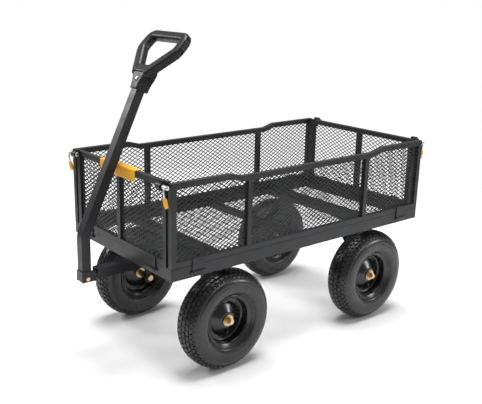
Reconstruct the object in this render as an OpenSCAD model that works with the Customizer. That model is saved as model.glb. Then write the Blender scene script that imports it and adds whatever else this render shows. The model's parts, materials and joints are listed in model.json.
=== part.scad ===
// Garden cart: a steel mesh bed on four pneumatic wheels, with fold-down mesh panels,
// a steered front axle and a pull handle that parks against the front panel.
// +Z is up, -Y is the handle end and the origin is on the ground under the bed's centre.

/* [Bed] */
// Length of the bed frame along Y
bed_l = 1286; // [1200:1:1350]
// Width of the bed frame along X
bed_w = 672; // [640:1:700]
// Height of the frame's lower edge above the ground
bed_z = 402; // [400:1:420]
// Height of the frame rails
rail_h = 44; // [40:1:50]
// Sheet thickness of the rails
rail_t = 3; // [2:0.5:4]

/* [Panels] */
// Height of the panels' top edge above the ground
panel_top_z = 742; // [700:1:780]
// Side of the square tubes that frame the panels
post = 20; // [16:1:22]
// Wall of those tubes
post_wall = 1.5; // [1:0.5:2]
// How far a side panel's top edge drops along its middle
dip = 15; // [0:1:25]
// Width of the end panels
end_panel_w = 604; // [580:1:610]
// Thickness of the expanded mesh sheets
mesh_t = 2; // [1.5:0.5:2]

/* [Wheels] */
// Outer radius of the tyres
tyre_r = 190.5; // [180:0.5:192]
// Width of the tyres
tyre_w = 116; // [100:1:120]
// Distance between the left and right wheels' middle planes
track = 588; // [580:1:600]
// Distance from the bed's centre to each axle line
axle_y = 384; // [370:1:400]
// Radius of the rims' lips
rim_r = 96; // [92:1:100]
// Radius of the axle bolts
axle_r = 8; // [7:0.5:9]

/* [Handle] */
// Side of the square handle tube
tube = 35; // [34:1:36]
// How far the upper tube leans back, in degrees
lean = 25.5; // [23:0.5:25.5]
// Height of the pivot bolt
pivot_z = 348; // [347:1:349]
// Distance from the bed's centre to the pivot bolt
pivot_y = 788; // [788:1:800]
// Height at which the tube bends
bend_z = 508; // [500:1:520]
// Length of the straight upper tube up to the grip's socket
upper_l = 545; // [500:1:560]

/* [Hidden] */

$fn = 48;
steel = "#3a3b3d";
rubber = "#222324";
yellow = "#f2b234";
zinc = "#c9a55a";

gap = 0.4;                          // clearance between parts that move past each other
half_w = bed_w / 2;
half_l = bed_l / 2;
bed_top = bed_z + rail_h;
flange = 22;                        // reach of the rails' inward flanges
floor_z = bed_top - 12;             // top of the cross members, which carry the floor mesh

panel_z = bed_top + 1;              // lower edge of the panels
bar_y = 305;                        // middle of a side panel's upright bars
dip_start = 393;                    // where the top edge begins to drop
dip_end = 338;                      // where it reaches its low middle
end_half = end_panel_w / 2;
bars = [
    [-half_l + post, -bar_y - post / 2],
    [-bar_y + post / 2, bar_y - post / 2],
    [bar_y + post / 2, half_l - post],
];                                  // windows between a side panel's posts and bars

tab_w = 50;                         // width of the hinge tabs
tab_t = 3;                          // thickness of the hinge tabs
tab_top = bed_top + 24;
side_tab_y = 534;                   // hinge tabs' places on the side panels
end_tab_x = 217;                    // and on the end panels
hinge_r = 4.6;                      // outer radius of a hinge knuckle
hinge_pin_r = 2.5;
hinge_bore_r = hinge_pin_r + 0.06;
hinge_out = gap + hinge_r;          // distance of the hinge line from the face behind it
hinge_z = bed_top - 25;

cross_w = 48;                       // front cross member
cross_h = 25;
middle_y = 12;                      // middle cross member
middle_w = 26;
rear_w = 92;                        // rear cross member
rear_h = 20;

plate_r = 60;                       // turntable plates
plate_t = 6;
kingpin_r = 8;
yoke_w = 48;                        // channel beam of the front yoke
yoke_h = 60;
yoke_t = 4;
yoke_half = 200;                    // outer faces of the axle legs
leg_t = 4;
leg_w = 44;
leg_lip = 18;
taper_z = 338;                      // a rear leg narrows from here
lip_z = 296;                        // down to here
upper_plate_z = floor_z - cross_h - plate_t;
lower_plate_z = upper_plate_z - 0.3 - plate_t;
yoke_top = lower_plate_z;

axle_z = tyre_r;
hub_half = 28;                      // half length of the hub tube
hub_r = 20;
bearing_r = 22;                     // flange of the bearing at each end of the hub
bearing_t = 3;
hub_bore_r = axle_r + 0.06;
sheet = 2.5;                        // pressed rim sheet
tyre_wall = 8;

tongue_w = 38;                      // side of the tongue's square tube
tongue_z = 338;                     // lower face of the tongue
tongue_front = pivot_y - 42;        // front end of the tongue's tube
bracket_t = 4;                      // plate of the bracket on the handle's foot
bolt_r = 5;

latch_y = half_l + 13.5;            // line of the latch bolts
latch_z = panel_top_z - 12;
latch_r = latch_y - half_l;         // rolled front of a latch bracket
latch_in = 276;                     // bracket's inner and outer ends along X
latch_out = 302;
latch_bolt_r = 4;
lever_x = 323;                      // middle of the lever's wire and grip
wire_r = 2.5;

// ---- Shared shapes ----

// Points of a path moved sideways by d, for outlines of bent sheet
function unit(v) = v / norm(v);
function left_of(v) = [-v[1], v[0]];
function path_dir(p, i) =
    i == 0 ? unit(p[1] - p[0]) :
    i == len(p) - 1 ? unit(p[i] - p[i - 1]) :
    unit(unit(p[i] - p[i - 1]) + unit(p[i + 1] - p[i]));
function shifted(p, d) = [for (i = [0 : len(p) - 1]) p[i] + d * left_of(path_dir(p, i))];
function reversed(p) = [for (i = [len(p) - 1 : -1 : 0]) p[i]];
function band(p, t) = concat(shifted(p, t / 2), reversed(shifted(p, -t / 2)));

// Cylinder along X or Y from one coordinate to another
module rod_x(x0, x1, y, z, r) {
    translate([x0, y, z]) rotate([0, 90, 0]) cylinder(r = r, h = x1 - x0);
}
module rod_y(y0, y1, x, z, r) {
    translate([x, y0, z]) rotate([-90, 0, 0]) cylinder(r = r, h = y1 - y0);
}
// Box between two corners
module block(a, b) {
    translate(a) cube(b - a);
}
// Outline in Y and Z, extruded along X from x0 to x1
module slab_x(x0, x1) {
    translate([x0, 0, 0]) rotate([90, 0, 90]) linear_extrude(x1 - x0) children();
}
// Outline in X and Z, extruded along Y from y0 to y1
module slab_y(y0, y1) {
    translate([0, y1, 0]) rotate([90, 0, 0]) linear_extrude(y1 - y0) children();
}
module both_sides() {
    children();
    mirror([1, 0, 0]) children();
}
module both_ends() {
    children();
    mirror([0, 1, 0]) children();
}

// ---- Bed ----

// Inward-facing channel along Y, its outer face at the right edge of the bed
module side_rail() {
    color(steel) {
        block([half_w - rail_t, -half_l, bed_z], [half_w, half_l, bed_top]);
        for (z = [bed_z, bed_top - rail_t])
            block([half_w - flange, -half_l + rail_t, z],
                  [half_w - rail_t, half_l - rail_t, z + rail_t]);
    }
}
// The same channel across the front, between the side rails
module end_rail() {
    inner = half_w - rail_t;
    color(steel) {
        block([-inner, -half_l, bed_z], [inner, -half_l + rail_t, bed_top]);
        for (z = [bed_z, bed_top - rail_t])
            block([-half_w + flange, -half_l + rail_t, z],
                  [half_w - flange, -half_l + flange, z + rail_t]);
    }
}
module side_rail_right() { side_rail(); }
module side_rail_left() { mirror([1, 0, 0]) side_rail(); }
module end_rail_front() { end_rail(); }
module end_rail_back() { mirror([0, 1, 0]) end_rail(); }

module floor_mesh() {
    x = half_w - rail_t - gap;
    y = half_l - rail_t - gap;
    color(steel) block([-x, -y, floor_z], [x, y, floor_z + mesh_t]);
}

// Channel across the bed, open below
module channel_across(y, w, h) {
    inner = half_w - rail_t;
    color(steel) difference() {
        block([-inner, y - w / 2, floor_z - h], [inner, y + w / 2, floor_z]);
        block([-inner - 1, y - w / 2 + rail_t, floor_z - h - 1],
              [inner + 1, y + w / 2 - rail_t, floor_z - rail_t]);
    }
}
module front_cross_member() { channel_across(-axle_y, cross_w, cross_h); }
module rear_cross_member() { channel_across(axle_y, rear_w, rear_h); }
module middle_cross_member() {
    inner = half_w - rail_t;
    wall = 2;
    color(steel) difference() {
        block([-inner, middle_y - middle_w / 2, floor_z - middle_w],
              [inner, middle_y + middle_w / 2, floor_z]);
        block([-inner - 1, middle_y - middle_w / 2 + wall, floor_z - middle_w + wall],
              [inner + 1, middle_y + middle_w / 2 - wall, floor_z - wall]);
    }
}

module turntable_plate() {
    color(steel) translate([0, -axle_y, upper_plate_z]) difference() {
        cylinder(r = plate_r, h = plate_t);
        translate([0, 0, -1]) cylinder(r = kingpin_r + 0.05, h = plate_t + 2);
    }
}
// Bolt through both turntable plates and the yoke, with its head inside the cross member
module kingpin() {
    head_h = 10;
    nut_h = 12;
    washer_t = 3;
    under_yoke = yoke_top - yoke_t;
    color(zinc) {
        translate([0, -axle_y, under_yoke - nut_h - washer_t - 4])
            cylinder(r = kingpin_r, h = upper_plate_z + plate_t - under_yoke + nut_h + washer_t + 4);
        translate([0, -axle_y, upper_plate_z + plate_t]) cylinder(r = 13.9, h = head_h, $fn = 6);
        translate([0, -axle_y, under_yoke - gap - washer_t]) difference() {
            cylinder(r = 17, h = washer_t);
            translate([0, 0, -1]) cylinder(r = kingpin_r + 0.2, h = washer_t + 2);
        }
        translate([0, -axle_y, under_yoke - gap - washer_t - nut_h - 0.2]) difference() {
            cylinder(r = 13.9, h = nut_h, $fn = 6);
            translate([0, 0, -1]) cylinder(r = kingpin_r + 0.2, h = nut_h + 2);
        }
    }
}

// ---- Axle legs ----

// Outline of a rear axle leg: broad at the bed, tapering to a round foot at the axle
module rear_leg_outline() {
    wide = rear_w / 2;
    narrow = leg_w / 2;
    top = floor_z - rear_h - leg_t;
    translate([axle_y, 0]) {
        polygon([
            [-wide, top], [-wide, taper_z], [-narrow, lip_z], [-narrow, axle_z],
            [narrow, axle_z], [narrow, lip_z], [wide, taper_z], [wide, top]
        ]);
        translate([0, axle_z]) circle(r = narrow);
    }
}
// Angle bracket under the rear cross member that holds one rear axle bolt
module rear_bracket() {
    top = floor_z - rear_h;
    foot_l = 80;
    color(steel) difference() {
        union() {
            block([yoke_half - foot_l, axle_y - rear_w / 2, top - leg_t],
                  [yoke_half, axle_y + rear_w / 2, top]);
            slab_x(yoke_half - leg_t, yoke_half) rear_leg_outline();
            for (s = [-1, 1])
                block([yoke_half - leg_lip, axle_y + s * (leg_w - leg_t) / 2 - leg_t / 2, axle_z],
                      [yoke_half - leg_t, axle_y + s * (leg_w - leg_t) / 2 + leg_t / 2, lip_z]);
        }
        rod_x(yoke_half - leg_t - 1, yoke_half + 1, axle_y, axle_z, axle_r + 0.1);
    }
}
module rear_bracket_right() { rear_bracket(); }
module rear_bracket_left() { mirror([1, 0, 0]) rear_bracket(); }

// Portal that turns under the bed: round plate, channel beam and a leg at each end
module front_yoke() {
    beam_z = yoke_top - yoke_h;
    foot = leg_w / 2;
    color(steel) difference() {
        union() {
            translate([0, -axle_y, lower_plate_z]) cylinder(r = plate_r, h = plate_t);
            difference() {
                block([-yoke_half, -axle_y - yoke_w / 2, beam_z],
                      [yoke_half, -axle_y + yoke_w / 2, yoke_top]);
                block([-yoke_half + leg_t, -axle_y - yoke_w / 2 + yoke_t, beam_z - 1],
                      [yoke_half - leg_t, -axle_y + yoke_w / 2 - yoke_t, yoke_top - yoke_t]);
            }
            both_sides() {
                slab_x(yoke_half - leg_t, yoke_half) translate([-axle_y, axle_z]) {
                    translate([-foot, 0]) square([leg_w, beam_z - axle_z + 1]);
                    circle(r = foot);
                }
                for (s = [-1, 1])
                    block([yoke_half - leg_lip, -axle_y + s * (leg_w - leg_t) / 2 - leg_t / 2, axle_z],
                          [yoke_half - leg_t, -axle_y + s * (leg_w - leg_t) / 2 + leg_t / 2, beam_z + 1]);
            }
        }
        translate([0, -axle_y, yoke_top - yoke_t - 1])
            cylinder(r = kingpin_r + 0.06, h = plate_t + yoke_t + 2);
        both_sides() rod_x(yoke_half - leg_t - 1, yoke_half + 1, -axle_y, axle_z, axle_r + 0.1);
    }
}

// ---- Axle bolts and nuts ----

spacer_end = track / 2 - hub_half - bearing_t - gap;   // end of the sleeve that spaces the wheel out
nut_x = track / 2 + hub_half + bearing_t + gap;        // inner face of the outer washer

// Axle bolt with its head inside the leg and a spacer sleeve outside it
module axle_bolt(y) {
    rod_x(yoke_half - leg_t, nut_x + 20, y, axle_z, axle_r);
    translate([yoke_half - leg_t - 10, y, axle_z]) rotate([0, 90, 0]) cylinder(r = 13, h = 10, $fn = 6);
    rod_x(yoke_half, spacer_end, y, axle_z, 13);
}
// Washer, slotted nut and cotter pin at the outer end of an axle bolt
module axle_nut(y) {
    washer_t = 2.5;
    nut_h = 11;
    cotter_x = nut_x + washer_t + nut_h - 2.5;
    difference() {
        rod_x(nut_x, nut_x + washer_t, y, axle_z, 17);
        rod_x(nut_x - 1, nut_x + washer_t + 1, y, axle_z, axle_r + 0.2);
    }
    difference() {
        translate([nut_x + washer_t + 0.2, y, axle_z]) rotate([0, 90, 0])
            cylinder(r = 13.5, h = nut_h, $fn = 6);
        rod_x(nut_x, nut_x + washer_t + nut_h + 2, y, axle_z, axle_r + 0.2);
        block([cotter_x - 2, y - 20, axle_z - 2], [cotter_x + 4, y + 20, axle_z + 2]);
    }
    for (s = [-1, 1])
        rod_y(s < 0 ? y - 15 : y + axle_r + 0.3, s < 0 ? y - axle_r - 0.3 : y + 15, cotter_x, axle_z, 1.5);
}
module rear_axles() { color(zinc) both_sides() axle_bolt(axle_y); }
module front_axles() { color(zinc) both_sides() axle_bolt(-axle_y); }
module rear_axle_nuts() { color(zinc) both_sides() axle_nut(axle_y); }
module front_axle_nuts() { color(zinc) both_sides() axle_nut(-axle_y); }

// ---- Wheels ----

// Section of the tyre: a rounded casing, open towards the rim
function tyre_section(w, h, r0, from, to, n, power) = [
    for (i = [0 : n])
        let (a = from + (to - from) * i / n, c = cos(a), s = sin(a))
        [r0 + h * sign(s) * pow(abs(s), power), w * sign(c) * pow(abs(c), power)]
];
module tyre() {
    mid_r = rim_r + 34;             // radius at which the tyre is widest
    crown = tyre_r - mid_r;
    outer = tyre_section(tyre_w / 2, crown, mid_r, 0, 180, 20, 0.82);
    inner = tyre_section(tyre_w / 2 - tyre_wall, crown - tyre_wall, mid_r, 0, 180, 20, 0.82);
    bead = 33;
    bead_r = rim_r - 7;
    color(rubber) rotate([0, 90, 0]) rotate_extrude($fn = 96) polygon(concat(
        [[bead_r, bead], [rim_r + 4, bead + 12]], outer,
        [[rim_r + 4, -bead - 12], [bead_r, -bead], [bead_r, -bead + tyre_wall], [rim_r + 6, -bead]],
        reversed(inner), [[rim_r + 6, bead], [bead_r, bead - tyre_wall]]
    ));
}
// Two pressed dishes, welded back to back: rolled lip, bead seat, flat web and hub cone
function dish(s) = [
    [rim_r + 1, s * 38], [rim_r - 3, s * 37.5], [rim_r - 8.5, s * 34], [rim_r - 9, s * 8],
    [rim_r - 15, s * 1.2], [70, s * 1.2], [62, s * 4], [30, s * 23], [hub_r + 1.4, s * 25]
];
module rim() {
    valve_r = 7;
    color(steel) difference() {
        rotate([0, 90, 0]) rotate_extrude($fn = 96) {
            polygon(band(dish(1), sheet));
            polygon(band(dish(-1), sheet));
        }
        translate([-30, 0, -52]) rotate([0, 90, 0]) cylinder(r = valve_r, h = 60);
    }
}
// Hub tube with a flanged bearing at each end
module hub() {
    half = hub_half + bearing_t;
    color(zinc) rotate([0, 90, 0]) difference() {
        union() {
            translate([0, 0, -hub_half]) cylinder(r = hub_r, h = 2 * hub_half);
            for (z = [-half, hub_half]) translate([0, 0, z]) cylinder(r = bearing_r, h = bearing_t);
        }
        translate([0, 0, -half - 1]) cylinder(r = hub_bore_r, h = 2 * half + 2);
    }
}
module at_wheel(sx, sy) {
    translate([sx * track / 2, sy * axle_y, axle_z]) mirror([sx < 0 ? 1 : 0, 0, 0]) children();
}
module tyre_front_left() { at_wheel(-1, -1) tyre(); }
module tyre_front_right() { at_wheel(1, -1) tyre(); }
module tyre_back_left() { at_wheel(-1, 1) tyre(); }
module tyre_back_right() { at_wheel(1, 1) tyre(); }
module rim_front_left() { at_wheel(-1, -1) rim(); }
module rim_front_right() { at_wheel(1, -1) rim(); }
module rim_back_left() { at_wheel(-1, 1) rim(); }
module rim_back_right() { at_wheel(1, 1) rim(); }
module hub_front_left() { at_wheel(-1, -1) hub(); }
module hub_front_right() { at_wheel(1, -1) hub(); }
module hub_back_left() { at_wheel(-1, 1) hub(); }
module hub_back_right() { at_wheel(1, 1) hub(); }

// ---- Side panels ----

// Top edge of a side panel in Y and Z, lowered by d
function top_edge(d) = [
    [-half_l, panel_top_z - d], [-dip_start, panel_top_z - d], [-dip_end, panel_top_z - dip - d],
    [dip_end, panel_top_z - dip - d], [dip_start, panel_top_z - d], [half_l, panel_top_z - d]
];
// Area between the bottom edge, raised by up, and the top edge, lowered by down
module panel_area(up, down) {
    polygon(concat([[half_l, panel_z + up], [-half_l, panel_z + up]], top_edge(down)));
}
// Strips of the area that lie between y0 and y1
module between(y0, y1) {
    intersection() {
        children();
        translate([y0, 0]) square([y1 - y0, panel_top_z + 10]);
    }
}
// Side panel's frame, with every member narrowed by d on each side
module side_frame_outline(d) {
    difference() {
        between(-half_l + d, half_l - d) panel_area(d, d);
        for (b = bars) between(b[0] - d, b[1] + d) panel_area(post - d, post - d);
    }
}
module side_panel_frame() {
    color(steel) {
        difference() {
            slab_x(half_w - post, half_w) side_frame_outline(0);
            slab_x(half_w - post + post_wall, half_w - post_wall) side_frame_outline(post_wall);
        }
        for (y = [-side_tab_y, side_tab_y]) hinge_tab(y, half_w);
    }
}
// Tab on a face at x = face, ending in a hinge knuckle beside the rail
module hinge_tab(y, face) {
    hinge_x = face + hinge_out;
    difference() {
        union() {
            slab_y(y - tab_w / 2, y + tab_w / 2) polygon([
                [face, tab_top], [face + gap + tab_t, tab_top], [face + gap + tab_t, hinge_z],
                [face + gap, hinge_z], [face + gap, panel_z], [face, panel_z]
            ]);
            rod_y(y - tab_w / 2, y + tab_w / 2, hinge_x, hinge_z, hinge_r);
        }
        rod_y(y - tab_w, y + tab_w, hinge_x, hinge_z, hinge_bore_r);
    }
}
module side_panel_mesh() {
    x = half_w - post / 2;
    edge = post + 0.1;
    color(steel) slab_x(x - mesh_t / 2, x + mesh_t / 2)
        for (b = bars) between(b[0] + 0.1, b[1] - 0.1) panel_area(edge, edge);
}
module right_panel_frame() { side_panel_frame(); }
module left_panel_frame() { mirror([1, 0, 0]) side_panel_frame(); }
module right_panel_mesh() { side_panel_mesh(); }
module left_panel_mesh() { mirror([1, 0, 0]) side_panel_mesh(); }

// ---- End panels ----

module end_frame_outline(d) {
    difference() {
        translate([-end_half + d, panel_z + d])
            square([end_panel_w - 2 * d, panel_top_z - panel_z - 2 * d]);
        for (x0 = [-end_half + post, post / 2])
            translate([x0 - d, panel_z + post - d])
                square([end_half - 1.5 * post + 2 * d, panel_top_z - panel_z - 2 * post + 2 * d]);
    }
}
module end_panel_frame() {
    color(steel) {
        difference() {
            slab_y(-half_l, -half_l + post) end_frame_outline(0);
            slab_y(-half_l + post_wall, -half_l + post - post_wall) end_frame_outline(post_wall);
        }
        for (x = [-end_tab_x, end_tab_x]) rotate([0, 0, -90]) hinge_tab(x, half_l);
    }
}
module end_panel_mesh() {
    y = -half_l + post / 2;
    color(steel) for (x0 = [-end_half + post, post / 2])
        block([x0 + 0.1, y - mesh_t / 2, panel_z + post + 0.1],
              [x0 + end_half - 1.5 * post - 0.1, y + mesh_t / 2, panel_top_z - post - 0.1]);
}
module front_panel_frame() { end_panel_frame(); }
module back_panel_frame() { mirror([0, 1, 0]) end_panel_frame(); }
module front_panel_mesh() { end_panel_mesh(); }
module back_panel_mesh() { mirror([0, 1, 0]) end_panel_mesh(); }

// Moulded cap over the front panel's top rail, where the handle parks
module handle_guard() {
    guard_half = 118;
    wall = 4;
    drop = 39;
    back_drop = 22;
    chamfer = 12;
    color(yellow) {
        slab_y(-half_l - wall, -half_l) polygon([
            [-guard_half, panel_top_z + wall], [-guard_half, panel_top_z - drop + chamfer],
            [-guard_half + chamfer, panel_top_z - drop], [guard_half - chamfer, panel_top_z - drop],
            [guard_half, panel_top_z - drop + chamfer], [guard_half, panel_top_z + wall]
        ]);
        block([-guard_half, -half_l, panel_top_z], [guard_half, -half_l + post, panel_top_z + wall]);
        block([-guard_half, -half_l + post, panel_top_z - back_drop],
              [guard_half, -half_l + post + wall, panel_top_z + wall]);
    }
}

// ---- Hinge pins ----

// Pin with both ends turned in to the rail, along Y beside the right rail
module staple(y) {
    x = half_w + hinge_out;
    reach = tab_w / 2 + 6;
    rod_y(y - reach, y + reach, x, hinge_z, hinge_pin_r);
    for (s = [-1, 1]) rod_x(half_w, x, y + s * reach, hinge_z, hinge_pin_r);
}
module end_staple(x) {
    y = half_l + hinge_out;
    reach = tab_w / 2 + 6;
    rod_x(x - reach, x + reach, y, hinge_z, hinge_pin_r);
    for (s = [-1, 1]) rod_y(half_l, y, x + s * reach, hinge_z, hinge_pin_r);
}
module hinge_pins() {
    color(steel) {
        both_sides() both_ends() staple(side_tab_y);
        both_sides() both_ends() end_staple(end_tab_x);
    }
}
// ---- Corner latches ----

// Rolled strap on an end panel's corner that carries the latch bolt
module latch_bracket() {
    strap = 3;
    face = half_l;
    top = panel_top_z + 7;
    low = panel_top_z - 34;
    color(steel) difference() {
        union() {
            // Plate on the panel's face and the strap rolled forward from its top
            slab_x(latch_in, latch_out) {
                translate([-face - strap, low]) square([strap, top - low]);
                difference() {
                    union() {
                        translate([-latch_y, latch_z]) circle(r = latch_r);
                        translate([-latch_y, latch_z]) square([latch_y - face, top - latch_z]);
                    }
                    translate([-latch_y, latch_z]) circle(r = latch_r - strap);
                    translate([-latch_y, latch_z]) square([latch_y - face, top - latch_z - strap]);
                    translate([-latch_y, latch_z - latch_r - 1]) square([latch_r + 1, latch_r + 1]);
                }
            }
            // Cheeks that hold the bolt
            for (x = [latch_in, latch_out - strap]) slab_x(x, x + strap) {
                translate([-latch_y, latch_z]) circle(r = latch_r);
                translate([-latch_y, latch_z - 8]) square([latch_y - face, 8 + top - latch_z]);
            }
        }
        rod_x(latch_in - 1, latch_out + 1, -latch_y, latch_z, latch_bolt_r + 0.1);
    }
}
module front_latch_brackets() { both_sides() latch_bracket(); }
module back_latch_brackets() { mirror([0, 1, 0]) both_sides() latch_bracket(); }

module latch_bolt() {
    color(zinc) {
        rod_x(latch_in - 0.2, lever_x + 8, -latch_y, latch_z, latch_bolt_r);
        rod_x(latch_in - 4, latch_in - 0.2, -latch_y, latch_z, 9);
        rod_x(lever_x + 8, lever_x + 11, -latch_y, latch_z, 7);
    }
}
module front_latch_bolts() { both_sides() latch_bolt(); }
module back_latch_bolts() { mirror([0, 1, 0]) both_sides() latch_bolt(); }

// Route of the lever's wire in Y and Z, seen from the right of the front right corner
wire_a = [-latch_y - 7, latch_z - 1];
wire_b = [-latch_y - 10, latch_z - 14];
wire_c = [-latch_y - 7, latch_z - 31];
wire_dir = unit([9, -37]);
grip_l = 39;
function along(p, d) = p + d * wire_dir;

// Round bar from one point to another in the plane x = lever_x
module wire_bar(p, q, r) {
    v = q - p;
    translate([lever_x, p[0], p[1]]) rotate([-atan2(v[0], v[1]), 0, 0]) cylinder(r = r, h = norm(v));
}
module ball(p, r) {
    translate([lever_x, p[0], p[1]]) sphere(r = r);
}
module latch_lever() {
    sleeve_r = 7.5;
    color(zinc) difference() {
        union() {
            rod_x(latch_out + 1, lever_x + 7, -latch_y, latch_z, sleeve_r);
            wire_bar(wire_a, wire_b, wire_r);
            ball(wire_b, wire_r + 0.3);
            wire_bar(wire_b, wire_c, wire_r);
            ball(wire_c, wire_r + 0.3);
            wire_bar(wire_c, along(wire_c, grip_l * 0.7), wire_r);
        }
        rod_x(latch_out, lever_x + 8, -latch_y, latch_z, latch_bolt_r + 0.06);
    }
}
// Flattened round grip on the end of the wire
module latch_grip() {
    half_x = 8;
    half_t = 5;
    color(yellow) difference() {
        translate([lever_x, wire_c[0], wire_c[1]]) rotate([-atan2(wire_dir[0], wire_dir[1]), 0, 0])
            translate([0, 0, 4]) intersection() {
                linear_extrude(grip_l) {
                    square([2 * (half_x - half_t), 2 * half_t], center = true);
                    for (s = [-1, 1]) translate([s * (half_x - half_t), 0]) circle(r = half_t);
                }
                rotate([90, 0, 0]) translate([0, 0, -half_t - 1]) linear_extrude(2 * half_t + 2) {
                    translate([-half_x, 0]) square([2 * half_x, grip_l - half_x]);
                    translate([0, grip_l - half_x]) circle(r = half_x);
                }
            }
        wire_bar(along(wire_c, 1), along(wire_c, grip_l * 0.7 + 0.3), wire_r + 0.05);
    }
}
module latch_lever_front_right() { latch_lever(); }
module latch_lever_front_left() { mirror([1, 0, 0]) latch_lever(); }
module latch_lever_back_right() { mirror([0, 1, 0]) latch_lever(); }
module latch_lever_back_left() { mirror([0, 1, 0]) mirror([1, 0, 0]) latch_lever(); }
module latch_grip_front_right() { latch_grip(); }
module latch_grip_front_left() { mirror([1, 0, 0]) latch_grip(); }
module latch_grip_back_right() { mirror([0, 1, 0]) latch_grip(); }
module latch_grip_back_left() { mirror([0, 1, 0]) mirror([1, 0, 0]) latch_grip(); }

// ---- Tongue and handle ----

// Square tube welded to the yoke, with a bar in its front end that carries the eye
module tongue() {
    wall = 3;
    back = -axle_y - yoke_w / 2;
    half = tongue_w / 2;
    eye_half = tube / 2 - 0.4;
    eye_r = 12;
    bar_low = pivot_z - 8;
    bar_high = pivot_z + 11;
    color(steel) difference() {
        union() {
            difference() {
                block([-half, -tongue_front, tongue_z], [half, back, tongue_z + tongue_w]);
                block([-half + wall, -tongue_front - 1, tongue_z + wall],
                      [half - wall, back + 1, tongue_z + tongue_w - wall]);
            }
            block([-eye_half, -pivot_y, bar_low], [eye_half, -tongue_front + 40, bar_high]);
            rod_x(-eye_half, eye_half, -pivot_y, pivot_z, eye_r);
        }
        rod_x(-eye_half - 1, eye_half + 1, -pivot_y, pivot_z, bolt_r + 0.06);
    }
}
// Folded plate round the handle's foot: two cheeks beside the eye and a web in front
module handle_bracket() {
    inner = tube / 2;
    outer = inner + bracket_t;
    front = pivot_y + inner + bracket_t + 0.1;
    rear = pivot_y - 34;
    low = pivot_z - 14;
    web_low = pivot_z - 10;
    high = pivot_z + 28;
    color(steel) difference() {
        union() {
            both_sides() block([inner, -front, low], [outer, -rear, high]);
            block([-inner, -front, web_low], [inner, -front + bracket_t, high]);
        }
        rod_x(-outer - 1, outer + 1, -pivot_y, pivot_z, bolt_r);
    }
}
module handle_bolt() {
    outer = tube / 2 + bracket_t;
    head = 5;
    nut = 6;
    color(zinc) {
        rod_x(-outer - nut - 3, outer, -pivot_y, pivot_z, bolt_r);
        translate([outer, -pivot_y, pivot_z]) rotate([0, 90, 0]) cylinder(r = 8.5, h = head, $fn = 6);
        difference() {
            translate([-outer - nut - 0.2, -pivot_y, pivot_z]) rotate([0, 90, 0])
                cylinder(r = 8.5, h = nut, $fn = 6);
            rod_x(-outer - nut - 1, -outer + 1, -pivot_y, pivot_z, bolt_r + 0.1);
        }
    }
}

bend_r = 90;                        // radius of the bend at the tube's middle
bend_start = bend_z - bend_r * tan(lean / 2);
socket_in = 60;                     // length of tube inside the grip's socket
tube_wall = 2.5;

module tube_section() {
    difference() {
        square(tube, center = true);
        square(tube - 2 * tube_wall, center = true);
    }
}
// Frame at the bend: local Z runs up the leaning tube, local Y points back
module leaning() {
    translate([0, -pivot_y, bend_z]) rotate([-lean, 0, 0]) children();
}
module handle_tube() {
    half = tube / 2;
    foot_z = pivot_z + 14.5;
    arc = bend_r * tan(lean / 2);   // length of the bend along either straight stretch
    color(steel) difference() {
        union() {
            translate([0, -pivot_y, foot_z]) linear_extrude(bend_start - foot_z) tube_section();
            translate([0, -pivot_y + bend_r, bend_start]) rotate([90, 0, -90])
                rotate_extrude(angle = lean, $fn = 96) translate([bend_r, 0]) tube_section();
            leaning() translate([0, 0, arc]) linear_extrude(upper_l + socket_in - arc) tube_section();
        }
        leaning() rod_y(-half - 1, 0, 0, upper_l + socket_in - 22, 3.1);
    }
}

socket_l = 74;
loop_up = 62;                       // foot of the loop above the socket's mouth
loop_fore = 10;                     // and in front of the tube's line
loop_tilt = 20;                     // how much further the loop leans back than the tube
loop_l = 170;                       // from the foot to the crossbar's middle
loop_t = 33;                        // thickness of the loop
bar_r = 17.5;                       // crossbar and the arms' upper ends
bar_half = 96;                      // half length of the crossbar, corner to corner
arm_r = 19;
arm_low = [32, 5];                  // right arm's lower end, shoulder and upper end
arm_mid = [107, 105];
arm_top = [106, 140];
web_half = 20;                      // web that joins the arms at the foot
web_r = 16;

// Rounded strip between two points
module strip(p, q, r) {
    v = unit(q - p);
    n = r * left_of(v);
    polygon([p + n, q + n, q - n, p - n]);
    for (c = [p, q]) translate(c) circle(r = r);
}
module handle_grip() {
    side = tube / 2 + 6;
    back = tube / 2 + 13;
    bore = tube / 2 + 0.05;
    color(rubber) leaning() difference() {
        union() {
            block([-side, -side, upper_l], [side, back, upper_l + socket_l]);
            translate([0, -loop_fore, upper_l + loop_up]) rotate([90 - loop_tilt, 0, 0])
                linear_extrude(loop_t, center = true) {
                    strip([-bar_half, loop_l], [bar_half, loop_l], bar_r);
                    strip([-web_half, 14], [web_half, 14], web_r);
                    for (s = [0, 1]) mirror([s, 0]) {
                        strip(arm_low, arm_mid, arm_r);
                        strip(arm_mid, arm_top, bar_r);
                        strip(arm_top, [bar_half, loop_l], bar_r);
                    }
                }
        }
        block([-bore, -bore, upper_l - 1], [bore, bore, upper_l + socket_in + 0.5]);
        rod_y(-40, 0, 0, upper_l + socket_in - 22, 3.1);
    }
}
module handle_rivet() {
    color(zinc) leaning() {
        rod_y(-tube / 2 - 6, -tube / 2 + 4, 0, upper_l + socket_in - 22, 3);
        rod_y(-tube / 2 - 8.5, -tube / 2 - 6, 0, upper_l + socket_in - 22, 6.5);
    }
}

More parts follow.
